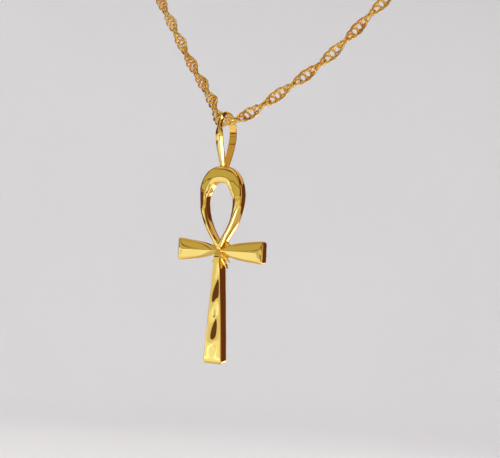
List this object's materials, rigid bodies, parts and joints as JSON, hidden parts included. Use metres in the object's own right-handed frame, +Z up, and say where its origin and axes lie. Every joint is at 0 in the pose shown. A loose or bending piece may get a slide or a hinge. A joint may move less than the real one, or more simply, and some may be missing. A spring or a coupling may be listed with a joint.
{
  "type": "ankh pendant necklace",
  "caption": "Gold ankh pendant with flared ridged arms and a teardrop loop, hanging by its soldered bail on a fine rope chain necklace with a clasp.",
  "frame": {"origin": "middle of the clasp at the back of the neck, where the worn necklace sits", "axes": "+X to the right as seen from the front, -Y toward the ankh's front, +Z up"},
  "size_m": [0.1154, 0.13, 0.1439],
  "materials": {
    "pendant_gold": "mirror-polished yellow gold",
    "chain_gold": "bright yellow gold wire links",
    "clasp_gold": "polished yellow gold"
  },
  "bodies": {
    "necklace": {"rope_chain_left": "chain_gold", "rope_chain_right": "chain_gold", "clasp": "clasp_gold"},
    "pendant": {"ankh_and_bail": "pendant_gold"}
  },
  "joints": [
    {"name": "pendant_swing", "type": "hinge", "parent": "necklace", "child": "pendant", "pos_m": [0, -0.127, -0.112], "axis": [1, 0, 0], "range_deg": [-90, 90]}
  ]
}
